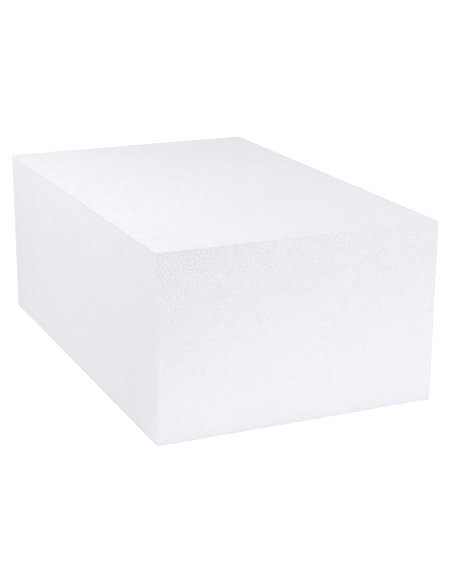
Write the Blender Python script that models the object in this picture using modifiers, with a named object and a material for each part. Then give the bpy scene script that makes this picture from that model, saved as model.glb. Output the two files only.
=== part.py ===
"""A florist's dry foam brick: one rigid rectangular block of white expanded-polystyrene bead foam.

Metres, +Z up. The block rests on Z = 0 and is centred on the origin in X and Y. Its length runs
along Y, its width along X and its thickness along Z, so an end face looks towards -Y.
"""

import bpy

# Driving dimensions of the block, in metres.
WIDTH = 0.190
LENGTH = 0.300
THICKNESS = 0.120

# Hot-wire-cut foam keeps nearly sharp edges: the outer beads round each of them by under a millimetre.
EDGE_RADIUS = 0.0008
EDGE_SEGMENTS = 2

# Dry white foam: a cool, fully matt white.
FOAM_COLOUR = (0.90, 0.885, 0.93, 1.0)
FOAM_ROUGHNESS = 0.85

COLLECTION_NAME = "floral_foam_brick"


def clear_scene():
    """Removes every object, so the part starts from nothing."""
    for old_object in list(bpy.data.objects):
        bpy.data.objects.remove(old_object, do_unlink=True)


def new_collection(name):
    """Makes the collection that holds the part, and links it to the scene."""
    collection = bpy.data.collections.new(name)
    bpy.context.scene.collection.children.link(collection)
    return collection


def foam_material():
    """The white bead foam."""
    material = bpy.data.materials.new("white_bead_foam")
    material.use_nodes = True
    shader = material.node_tree.nodes["Principled BSDF"]
    shader.inputs["Base Color"].default_value = FOAM_COLOUR
    shader.inputs["Roughness"].default_value = FOAM_ROUGHNESS
    shader.inputs["Metallic"].default_value = 0.0
    return material


def move_to_collection(piece, collection):
    """Keeps the piece in the part's own collection only."""
    for old_collection in list(piece.users_collection):
        old_collection.objects.unlink(piece)
    collection.objects.link(piece)


def make_foam_block(collection):
    """The block itself: a plain rectangular solid, its six faces flat and its edges barely eased."""
    bpy.ops.mesh.primitive_cube_add(size=1.0, location=(0.0, 0.0, THICKNESS / 2))
    block = bpy.context.active_object
    block.name = "foam_block"
    block.data.name = "foam_block"
    block.scale = (WIDTH, LENGTH, THICKNESS)
    bpy.ops.object.transform_apply(location=False, rotation=False, scale=True)

    eased_edges = block.modifiers.new("eased_edges", "BEVEL")
    eased_edges.width = EDGE_RADIUS
    eased_edges.segments = EDGE_SEGMENTS
    eased_edges.limit_method = "NONE"

    block.data.materials.append(foam_material())
    move_to_collection(block, collection)
    return block


def main():
    clear_scene()
    collection = new_collection(COLLECTION_NAME)
    make_foam_block(collection)


main()
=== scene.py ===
"""Looks for a florist's dry foam brick: one rigid block of white expanded-polystyrene bead foam.

The CAD block is one plain solid. This script rebuilds its surface bead by bead: beads are packed over
the six faces and along the arrises, each one becomes a low dome of real geometry with a groove round
it, and the material adds the finer skin of each bead. Lengths are in metres unless a name ends in MM,
and angles are in degrees.
"""

import itertools
import math

import bpy
import numpy as np
from mathutils import Euler, Matrix, Vector
from mathutils.geometry import delaunay_2d_cdt


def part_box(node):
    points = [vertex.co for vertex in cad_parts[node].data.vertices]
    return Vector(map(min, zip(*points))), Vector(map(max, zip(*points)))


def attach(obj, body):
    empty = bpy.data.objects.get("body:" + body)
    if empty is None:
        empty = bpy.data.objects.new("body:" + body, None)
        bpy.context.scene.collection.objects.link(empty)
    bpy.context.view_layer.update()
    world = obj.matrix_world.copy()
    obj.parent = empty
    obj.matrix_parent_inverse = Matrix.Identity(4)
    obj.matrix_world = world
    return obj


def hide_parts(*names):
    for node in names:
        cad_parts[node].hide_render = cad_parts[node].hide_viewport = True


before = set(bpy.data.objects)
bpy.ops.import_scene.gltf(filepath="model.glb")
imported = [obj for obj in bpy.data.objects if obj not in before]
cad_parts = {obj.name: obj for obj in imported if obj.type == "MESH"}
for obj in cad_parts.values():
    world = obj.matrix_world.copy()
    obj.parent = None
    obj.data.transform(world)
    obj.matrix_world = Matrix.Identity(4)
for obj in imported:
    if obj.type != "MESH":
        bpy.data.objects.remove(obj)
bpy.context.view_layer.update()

MM = 0.001
LOW, HIGH = (np.array(corner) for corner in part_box("foam_block"))
CENTRE = (LOW + HIGH) / 2

# ---------------------------------------------------------------- bead packing

SEED = 284
BEAD_PITCH = 2.87 * MM
BEAD_SIZES = (0.72, 1.32)  # smallest and largest bead, in pitches
BEAD_SIZE_SPREAD = 0.20
PACKING_ROUNDS = 24
PACKING_REACH = 1.12  # beads closer than this many mean sizes push each other apart
PACKING_PUSH = 0.35  # each of two beads moves away by this share of their overlap in a round
ARRIS_MARGIN = 0.55  # the first row of face beads keeps this many pitches to the arris
ARRIS_ROOM = 0.5  # pitches added to each axis of the area inside that row, when its beads are counted
ARRIS_JITTER = 0.18  # how far an arris bead strays along its arris, in pitches
TINY = 1e-9  # keeps two beads in one place from dividing by zero
WELD = 1e-6  # points closer than this many pitches count as one


def close_pairs(points, reach):
    """Index pairs of 2-D points less than reach apart, found through a grid of square cells."""
    cell = np.floor(points / reach).astype(np.int64)
    cell -= cell.min(axis=0) - 1
    columns = cell[:, 1].max() + 3
    key = cell[:, 0] * columns + cell[:, 1]
    order = np.argsort(key, kind="stable")
    sorted_key = key[order]
    own = np.arange(len(points))
    firsts, seconds = [], []
    for step in (0, 1, columns - 1, columns, columns + 1):
        begin = np.searchsorted(sorted_key, key + step, side="left")
        end = np.searchsorted(sorted_key, key + step, side="right")
        for slot in range(int((end - begin).max(initial=0))):
            inside = begin + slot < end
            first = own[inside]
            second = order[begin[inside] + slot]
            if step == 0:
                once = first < second
                first, second = first[once], second[once]
            firsts.append(first)
            seconds.append(second)
    first, second = np.concatenate(firsts), np.concatenate(seconds)
    near = np.linalg.norm(points[first] - points[second], axis=1) < reach
    return first[near], second[near]


def pack_face(size, rim, rng):
    """Bead centres in a size[0] by size[1] rectangle, packed against each other and the rim beads."""
    pitch_area = BEAD_PITCH**2 * math.sqrt(3) / 2
    margin = ARRIS_MARGIN * BEAD_PITCH
    inner = size - 2 * margin
    room = ARRIS_ROOM * BEAD_PITCH
    wanted = (inner[0] + room) * (inner[1] + room) / pitch_area
    rows = round(math.sqrt(wanted * inner[1] / inner[0]))
    columns = round(wanted / rows)
    grid = np.stack(np.meshgrid(np.arange(columns), np.arange(rows)), axis=-1).reshape(-1, 2)
    loose = margin + (grid + rng.random(grid.shape)) / (columns, rows) * inner
    count = len(loose)
    sizes = np.clip(rng.normal(1.0, BEAD_SIZE_SPREAD, count), *BEAD_SIZES)
    sizes = np.concatenate([sizes, np.ones(len(rim))]) * PACKING_REACH * BEAD_PITCH
    for _ in range(PACKING_ROUNDS):
        points = np.concatenate([loose, rim])
        first, second = close_pairs(points, sizes.max())
        gap = points[second] - points[first]
        distance = np.linalg.norm(gap, axis=1) + TINY
        overlap = np.maximum((sizes[first] + sizes[second]) / 2 - distance, 0.0)
        push = gap * (overlap / distance * PACKING_PUSH)[:, None]
        move = np.zeros_like(points)
        np.add.at(move, first, -push)
        np.add.at(move, second, push)
        loose = np.clip(loose + move[:count], margin, size - margin)
    return loose


def arris_beads(start, end, rng):
    """Bead centres along one arris, between its two corner beads."""
    steps = round(np.linalg.norm(end - start) / BEAD_PITCH)
    along = np.arange(1, steps) + rng.uniform(-ARRIS_JITTER, ARRIS_JITTER, steps - 1)
    return start + np.outer(along / steps, end - start)


def box_corner(bits):
    """A corner of the block, named by a bit for each axis: 0 at its low side, 1 at its high side."""
    return np.where(bits, HIGH, LOW)


def face_layout(axis, side):
    """A face's outward normal, its two axes, and its corners' bits in order round it."""
    normal = np.zeros(3)
    normal[axis] = side * 2.0 - 1.0
    across = [(axis + 1) % 3, (axis + 2) % 3][:: 1 if side else -1]
    corners = []
    for across_bits in ((0, 0), (1, 0), (1, 1), (0, 1)):
        bits = [side, side, side]
        bits[across[0]], bits[across[1]] = across_bits
        corners.append(tuple(bits))
    return normal, across, corners


def pack_block(rng):
    """Beads all over the block: places, outward directions, triangles between neighbours, normals.

    An arris bead belongs to both faces it touches, and a corner bead to three, so the triangles of the
    six faces join into one closed surface.
    """
    places, outward, groups = [], [], {}

    def add(points, direction):
        first = sum(len(block) for block in places)
        places.append(points)
        outward.append(np.broadcast_to(direction / np.linalg.norm(direction), points.shape))
        return np.arange(first, first + len(points))

    for bits in itertools.product((0, 1), repeat=3):
        groups[bits] = add(box_corner(bits)[None, :], np.array(bits) * 2.0 - 1.0)
    for bits in itertools.product((0, 1), repeat=3):
        for axis in range(3):
            if bits[axis] == 0:
                far = tuple(1 if i == axis else bit for i, bit in enumerate(bits))
                direction = np.array(bits) * 2.0 - 1.0
                direction[axis] = 0.0
                points = arris_beads(box_corner(bits), box_corner(far), rng)
                groups[bits, far] = add(points, direction)
                groups[far, bits] = groups[bits, far][::-1]

    triangles, triangle_normals = [], []
    for axis, side in itertools.product(range(3), (0, 1)):
        normal, across, corners = face_layout(axis, side)
        rim_beads = []
        for corner, next_corner in zip(corners, corners[1:] + corners[:1], strict=True):
            rim_beads += [groups[corner], groups[corner, next_corner]]
        rim_beads = np.concatenate(rim_beads)
        rim = np.concatenate(places)[rim_beads][:, across] - LOW[across]
        inner = pack_face((HIGH - LOW)[across], rim, rng)
        inner_places = np.empty((len(inner), 3))
        inner_places[:, across] = inner + LOW[across]
        inner_places[:, axis] = box_corner(corners[0])[axis]
        beads = np.concatenate([rim_beads, add(inner_places, normal)])

        flat = [Vector(point) for point in np.concatenate([rim, inner]) / BEAD_PITCH]
        rim_edges = [(i, (i + 1) % len(rim)) for i in range(len(rim))]
        _, _, flat_triangles, sources, _, _ = delaunay_2d_cdt(flat, rim_edges, [], 1, WELD, True)
        bead_of = beads[[ids[0] for ids in sources]]
        face_triangles = bead_of[np.array(flat_triangles)]
        triangles.append(face_triangles)
        triangle_normals.append(np.broadcast_to(normal, (len(face_triangles), 3)))
    return (
        np.concatenate(places),
        np.concatenate(outward),
        np.concatenate(triangles),
        np.concatenate(triangle_normals),
    )


# ---------------------------------------------------------------- bead surface

JUNCTION_SHARE = 0.14  # least share of each bead in a groove junction, so that no sliver is made
# Least and most depth under the CAD block's faces: of a bead's crown and of the grooves round it.
CROWN_DEPTH = (0.00 * MM, 0.26 * MM)
GROOVE_DEPTH = (0.26 * MM, 0.58 * MM)
ARRIS_CROWN_DEPTH = (0.08 * MM, 0.32 * MM)
ARRIS_GROOVE_DEPTH = (0.28 * MM, 0.52 * MM)
# Shares of that depth. The ends are pebbled the most, above all at their top and left.
END_RELIEF = (0.18, 0.94)  # at the foot and at the top of an end
END_RELIEF_ACROSS = (1.17, 0.85)  # times this, at its -X side and at its +X side
SIDE_RELIEF = 0.26
TOP_RELIEF = 0.36
END_ARRIS_RELIEF = 1.0
LONG_ARRIS_RELIEF = 0.5  # the four long arrises are cut cleaner than those round the ends
SQUARE_ON = 0.99  # a bead's direction has a part this large along an axis, unless it is on an arris
ARRIS_ANGLE = 42.0  # steeper edges are sharp, so the cut beads meet in a crisp line along each arris


def junctions(a, b, c):
    """Where the grooves meet between three beads: equally far from all three, kept well inside them."""
    side_a = ((b - c) ** 2).sum(axis=1)
    side_b = ((c - a) ** 2).sum(axis=1)
    side_c = ((a - b) ** 2).sum(axis=1)
    shares = np.stack(
        [
            side_a * (side_b + side_c - side_a),
            side_b * (side_c + side_a - side_b),
            side_c * (side_a + side_b - side_c),
        ],
        axis=1,
    )
    shares = np.maximum(shares / shares.sum(axis=1, keepdims=True), JUNCTION_SHARE)
    shares /= shares.sum(axis=1, keepdims=True)
    return shares[:, :1] * a + shares[:, 1:2] * b + shares[:, 2:] * c


def make_bead_mesh(name, rng):
    """One closed mesh: each bead is a fan of triangles, its crown in the middle, its groove round it."""
    crowns, outward, triangles, normals = pack_block(rng)
    bead_count, triangle_count = len(crowns), len(triangles)
    junction = junctions(*(crowns[triangles[:, i]] for i in range(3)))

    # Each directed edge start -> end of each triangle, and the triangle on the edge's other side.
    start = triangles.ravel()
    end = triangles[:, (1, 2, 0)].ravel()
    own = np.repeat(np.arange(triangle_count), 3)
    key, twin_key = start * bead_count + end, end * bead_count + start
    order = np.argsort(key)
    twin = own[order[np.searchsorted(key[order], twin_key)]]
    on_arris = (normals[own] != normals[twin]).any(axis=1)

    # On one face a groove runs from junction to junction. Over an arris it crosses between them,
    # half-way from bead to bead.
    crossing_pairs = np.nonzero(on_arris & (start < end))[0]
    crossing = (crowns[start[crossing_pairs]] + crowns[end[crossing_pairs]]) / 2
    crossing_outward = normals[own[crossing_pairs]] + normals[twin[crossing_pairs]]
    crossing_outward /= np.linalg.norm(crossing_outward, axis=1, keepdims=True)
    first_crossing = bead_count + triangle_count
    crossing_id = {(start[pair], end[pair]): first_crossing + i for i, pair in enumerate(crossing_pairs)}

    inner = ~on_arris
    fans = [np.stack([start[inner], bead_count + twin[inner], bead_count + own[inner]], axis=1)]
    for pair in np.nonzero(on_arris)[0]:
        ends = (start[pair], end[pair])
        middle = crossing_id.get(ends) or crossing_id[ends[::-1]]
        spot = bead_count + own[pair]
        fans.append(np.array([[ends[0], middle, spot], [ends[1], spot, middle]]))
    faces = np.concatenate(fans)

    # Relief: every crown and groove has its own depth, and the pebbled ends have more of it.
    points = np.concatenate([crowns, junction, crossing])
    directions = np.concatenate([outward, normals, crossing_outward])
    facing = np.abs(directions)  # how much of each direction is along X, Y and Z
    at_arris = facing.max(axis=1) < SQUARE_ON
    arris_crown_depth = rng.uniform(*ARRIS_CROWN_DEPTH, bead_count)
    crown_depth = rng.uniform(*CROWN_DEPTH, bead_count)
    depth = np.concatenate(
        [
            np.where(at_arris[:bead_count], arris_crown_depth, crown_depth),
            rng.uniform(*GROOVE_DEPTH, triangle_count),
            rng.uniform(*ARRIS_GROOVE_DEPTH, len(crossing)),
        ]
    )
    end_relief = np.interp(points[:, 2], (LOW[2], HIGH[2]), END_RELIEF)
    end_relief *= np.interp(points[:, 0], (LOW[0], HIGH[0]), END_RELIEF_ACROSS)
    level_relief = np.where(facing[:, 2] > SQUARE_ON, TOP_RELIEF, SIDE_RELIEF)
    pebbling = np.where(facing[:, 1] > SQUARE_ON, end_relief, level_relief)
    pebbling[at_arris] = (end_relief[at_arris] + SIDE_RELIEF) / 2
    arris_relief = np.where(facing[:, 1] > 0.0, END_ARRIS_RELIEF, LONG_ARRIS_RELIEF)
    depth *= np.where(at_arris, arris_relief, pebbling)
    points -= directions * depth[:, None]

    mesh = bpy.data.meshes.new(name)
    mesh.from_pydata(points.tolist(), [], faces.tolist())
    mesh.validate()
    mesh.shade_smooth()
    mesh.set_sharp_from_angle(angle=math.radians(ARRIS_ANGLE))

    # The material reads 0 at a bead's crown to 1 in its groove, the relief there, and a tone per bead.
    radius = np.concatenate([np.zeros(bead_count), np.ones(len(points) - bead_count)])
    bead_tone = rng.random(bead_count)
    add_attribute(mesh, "bead_radius", "POINT", radius)
    add_attribute(mesh, "pebbling", "POINT", pebbling)
    add_attribute(mesh, "bead_tone", "FACE", bead_tone[faces[:, 0]])
    return mesh


def add_attribute(mesh, name, domain, values):
    """Gives the mesh one number for each of its points or faces."""
    attribute = mesh.attributes.new(name, "FLOAT", domain)
    attribute.data.foreach_set("value", values.astype(np.float32))


# ---------------------------------------------------------------- material

FOAM_WHITE = (0.905, 0.892, 0.935, 1.0)
DIM_WHITE = (0.85, 0.839, 0.885, 1.0)  # what a bead's tone and the mottle mix in
TONE_SHARE = 0.25
MOTTLE_SIZE = 28 * MM
MOTTLE_NOISE = (0.35, 0.7)  # where in the noise the mottle begins and is full
MOTTLE_SHARE = 0.18
# The skin's bump: each bead's dome, the groove round it and the fine cells.
DOME_HEIGHT = 0.20 * MM
DOME_POWER = 2.5  # higher is flatter on top
GROOVE_CUT = 0.05 * MM
GROOVE_START = 0.72  # in bead radii
CELL_SIZE = 0.35 * MM
CELL_GRAIN = 0.012 * MM
NOISE_DETAIL = 3.0
# Most beads are matt. The ones whose tone is in this range go from matt to a little glossy.
GLOSSY_TONES = (0.80, 1.0)
MATT_ROUGHNESS = 0.75
GLOSSY_ROUGHNESS = 0.42
FOAM_SPECULAR = 0.2


class Nodes:
    """Short calls for building a material's nodes."""

    def __init__(self, material):
        material.use_nodes = True
        self.tree = material.node_tree
        self.shader = self.tree.nodes["Principled BSDF"]

    def new(self, kind, **settings):
        node = self.tree.nodes.new(kind)
        for name, value in settings.items():
            setattr(node, name, value)
        return node

    def put(self, value, socket):
        """Gives a socket its own value, or links it to another node's output."""
        if isinstance(value, bpy.types.NodeSocket):
            self.tree.links.new(value, socket)
        else:
            socket.default_value = value

    def shade(self, **values):
        """Puts values in the shader's sockets, with _ for each space in a socket's name."""
        for name, value in values.items():
            self.put(value, self.shader.inputs[name.replace("_", " ")])

    def attribute(self, name):
        return self.new("ShaderNodeAttribute", attribute_name=name).outputs["Fac"]

    def math(self, operation, a, b=0.0, clamp=False):
        node = self.new("ShaderNodeMath", operation=operation, use_clamp=clamp)
        self.put(a, node.inputs[0])
        self.put(b, node.inputs[1])
        return node.outputs[0]

    def ramp(self, value, start, end, low, high):
        """Maps start..end of value to low..high with a soft step."""
        node = self.new("ShaderNodeMapRange", interpolation_type="SMOOTHSTEP")
        self.put(value, node.inputs["Value"])
        self.put(start, node.inputs["From Min"])
        self.put(end, node.inputs["From Max"])
        self.put(low, node.inputs["To Min"])
        self.put(high, node.inputs["To Max"])
        return node.outputs["Result"]

    def place(self):
        """Where on its object a point is."""
        return self.new("ShaderNodeTexCoord").outputs["Object"]

    def noise(self, size):
        """Noise over the object, in blobs about size wide."""
        node = self.new("ShaderNodeTexNoise")
        self.put(1.0 / size, node.inputs["Scale"])
        self.put(NOISE_DETAIL, node.inputs["Detail"])
        self.put(self.place(), node.inputs["Vector"])
        return node.outputs["Fac"]

    def mix(self, share, plain, full):
        """A colour from plain, where share is 0, to full, where it is 1."""
        node = self.new("ShaderNodeMix", data_type="RGBA")
        self.put(share, node.inputs["Factor"])
        self.put(plain, node.inputs["A"])
        self.put(full, node.inputs["B"])
        return node.outputs["Result"]

    def bump(self, height):
        """The surface's normal when it is raised by height, in metres."""
        node = self.new("ShaderNodeBump")
        self.put(1.0, node.inputs["Strength"])
        self.put(1.0, node.inputs["Distance"])
        self.put(height, node.inputs["Height"])
        return node.outputs["Normal"]


def foam_material():
    """White bead foam: matt beads of slightly different tone and gloss, a soft mottle, a bumped skin."""
    material = bpy.data.materials.new("white_bead_foam")
    nodes = Nodes(material)
    radius = nodes.attribute("bead_radius")
    pebbling = nodes.attribute("pebbling")
    tone = nodes.attribute("bead_tone")

    dome = nodes.math("SUBTRACT", 1.0, nodes.math("POWER", radius, DOME_POWER))
    dome = nodes.math("MULTIPLY", dome, DOME_HEIGHT)
    groove = nodes.ramp(radius, GROOVE_START, 1.0, 0.0, 1.0)
    groove = nodes.math("MULTIPLY", groove, GROOVE_CUT)
    relief = nodes.math("MULTIPLY", nodes.math("SUBTRACT", dome, groove), pebbling)
    grain = nodes.math("MULTIPLY", nodes.noise(CELL_SIZE), CELL_GRAIN)

    mottle = nodes.ramp(nodes.noise(MOTTLE_SIZE), *MOTTLE_NOISE, 0.0, MOTTLE_SHARE)
    dimness = nodes.math("ADD", nodes.math("MULTIPLY", tone, TONE_SHARE), mottle, clamp=True)
    nodes.shade(
        Base_Color=nodes.mix(dimness, FOAM_WHITE, DIM_WHITE),
        Roughness=nodes.ramp(tone, *GLOSSY_TONES, MATT_ROUGHNESS, GLOSSY_ROUGHNESS),
        Specular_IOR_Level=FOAM_SPECULAR,
        Normal=nodes.bump(nodes.math("ADD", relief, grain)),
    )
    return material


# ---------------------------------------------------------------- studio

WHITE = (1.0, 1.0, 1.0, 1.0)
FLOOR_SIZE = 14.0
FLOOR_COLOUR = (0.20, 0.20, 0.20, 1.0)  # dark, because its whiteness comes from its glow
FLOOR_ROUGHNESS = 0.9
FLOOR_GLOW = 1.0
# The light that the block gets from below comes from its own card, just under the floor: an even glow,
# and patches that are brighter, each with its middle, size and extra glow.
CARD_DROP = 2 * MM
CARD_GLOW = 0.50
GLOW_PATCHES = (
    ((0.03, -0.205), (0.34, 0.11), 0.49),
    ((0.03, -0.36), (0.54, 0.20), 0.50),
    ((-0.15, 0.0), (0.11, 0.30), 0.14),
)
GLOW_PATCH_RIM = 0.03  # half the width over which a patch fades out
# How bright the air is from the horizon, 0, to straight overhead, 1: grey above, white at the horizon.
AIR_LIGHT = ((0.0, 1.1), (0.15, 0.689), (0.4, 0.47), (0.7, 0.36), (1.0, 0.34))
# Name, azimuth from -Y towards +X, elevation, distance from the block's centre, size, watts.
SOFTBOXES = (
    ("right_softbox", 32.0, 39.0, 1.25, 0.45, 3.42),
    ("corner_softbox", -42.0, 58.0, 1.25, 0.45, 2.7),
    ("far_left_softbox", -140.0, 35.0, 1.25, 0.45, 1.93),
    ("back_softbox", 108.0, 22.0, 1.25, 0.45, 2.31),
    ("left_softbox", -98.0, 46.0, 0.6, 0.3, 0.89),
)


def make_plane(name, height, glow):
    """A big level plane. glow is a function that gives its glow from its material's nodes."""
    bpy.ops.mesh.primitive_plane_add(size=FLOOR_SIZE, location=(0.0, 0.0, height))
    plane = bpy.context.active_object
    plane.name = name
    material = bpy.data.materials.new(name + "_white")
    nodes = Nodes(material)
    nodes.shade(
        Base_Color=FLOOR_COLOUR,
        Roughness=FLOOR_ROUGHNESS,
        Specular_IOR_Level=0.0,
        Emission_Color=WHITE,
        Emission_Strength=glow(nodes),
    )
    material.cycles.emission_sampling = "NONE"  # cleaner for a glow this big and even
    plane.data.materials.append(material)
    return plane


def floor_glow(_nodes):
    """The floor's glow: the same all over."""
    return FLOOR_GLOW


def card_glow(nodes):
    """The card's glow: even, with brighter patches that have soft rims."""
    place = nodes.new("ShaderNodeSeparateXYZ")
    nodes.put(nodes.place(), place.inputs["Vector"])
    glow = CARD_GLOW
    for middle, size, boost in GLOW_PATCHES:
        patch = boost
        for axis in range(2):
            offset = nodes.math("SUBTRACT", place.outputs[axis], middle[axis])
            offset = nodes.math("ABSOLUTE", offset)
            rim = (size[axis] / 2 - GLOW_PATCH_RIM, size[axis] / 2 + GLOW_PATCH_RIM)
            patch = nodes.math("MULTIPLY", nodes.ramp(offset, *rim, 1.0, 0.0), patch)
        glow = nodes.math("ADD", patch, glow)
    return glow


def make_floor():
    """The white floor that the camera sees, and under it the card that lights the block from below."""
    floor = make_plane("studio_floor", 0.0, floor_glow)
    card = make_plane("studio_card", -CARD_DROP, card_glow)
    floor.visible_diffuse = False
    floor.visible_glossy = False
    floor.visible_shadow = False
    card.visible_camera = False


def make_world():
    """Plain air that lights the block from all round, brightest at the horizon."""
    world = bpy.data.worlds.new("studio_air")
    world.use_nodes = True
    tree = world.node_tree
    background = tree.nodes["Background"]
    background.inputs["Color"].default_value = WHITE
    place = tree.nodes.new("ShaderNodeSeparateXYZ")
    tree.links.new(tree.nodes.new("ShaderNodeTexCoord").outputs["Generated"], place.inputs["Vector"])
    ramp = tree.nodes.new("ShaderNodeValToRGB")
    stops = ramp.color_ramp.elements
    stops.remove(stops[-1])
    for i, (height, light) in enumerate(AIR_LIGHT):
        stop = stops[0] if i == 0 else stops.new(height)
        stop.position = height
        stop.color = (light, light, light, 1.0)
    tree.links.new(place.outputs["Z"], ramp.inputs["Fac"])
    tree.links.new(ramp.outputs["Color"], background.inputs["Strength"])
    world.cycles.sampling_method = "NONE"
    bpy.context.scene.world = world


def make_softbox(name, azimuth, elevation, distance, size, power):
    """A square area light that looks at the block's centre."""
    azimuth, elevation = math.radians(azimuth), math.radians(elevation)
    level = math.cos(elevation)
    offset = Vector((math.sin(azimuth) * level, -math.cos(azimuth) * level, math.sin(elevation)))
    offset *= distance
    light = bpy.data.lights.new(name, "AREA")
    light.shape = "SQUARE"
    light.size = size
    light.energy = power
    lamp = bpy.data.objects.new(name, light)
    bpy.context.scene.collection.objects.link(lamp)
    lamp.location = Vector(CENTRE) + offset
    lamp.rotation_euler = (-offset).to_track_quat("-Z", "Y").to_euler()
    lamp.visible_camera = False


# ---------------------------------------------------------------- camera

CAMERA_OFFSET = (-0.36609, -0.85109, 0.27254)  # from the block's centre
CAMERA_YAW = 24.224  # from +Y towards +X
CAMERA_PITCH = 17.412  # down from level
CAMERA_ROLL = 0.295
CAMERA_LENS_MM = 84.43
CAMERA_SENSOR_MM = 36.0
CAMERA_REACH = 50.0  # beyond the floor's far edge


def make_camera():
    camera_data = bpy.data.cameras.new("camera")
    camera_data.lens = CAMERA_LENS_MM
    camera_data.sensor_width = CAMERA_SENSOR_MM
    camera_data.clip_end = CAMERA_REACH
    camera = bpy.data.objects.new("camera", camera_data)
    bpy.context.scene.collection.objects.link(camera)
    look = Euler((math.radians(90 - CAMERA_PITCH), 0.0, math.radians(-CAMERA_YAW))).to_matrix()
    look = look @ Matrix.Rotation(math.radians(CAMERA_ROLL), 3, "Z")
    place = Vector(CENTRE) + Vector(CAMERA_OFFSET)
    camera.matrix_world = Matrix.Translation(place) @ look.to_4x4()
    bpy.context.scene.camera = camera


# ---------------------------------------------------------------- the scene

make_camera()
bpy.context.scene.view_settings.view_transform = "Standard"
make_floor()
make_world()
for softbox in SOFTBOXES:
    make_softbox(*softbox)

bead_mesh = make_bead_mesh("foam_block_beads", np.random.default_rng(SEED))
block = bpy.data.objects.new("foam_block_beads", bead_mesh)
bpy.context.scene.collection.objects.link(block)
block.data.materials.append(foam_material())
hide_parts("foam_block")
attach(block, "root")
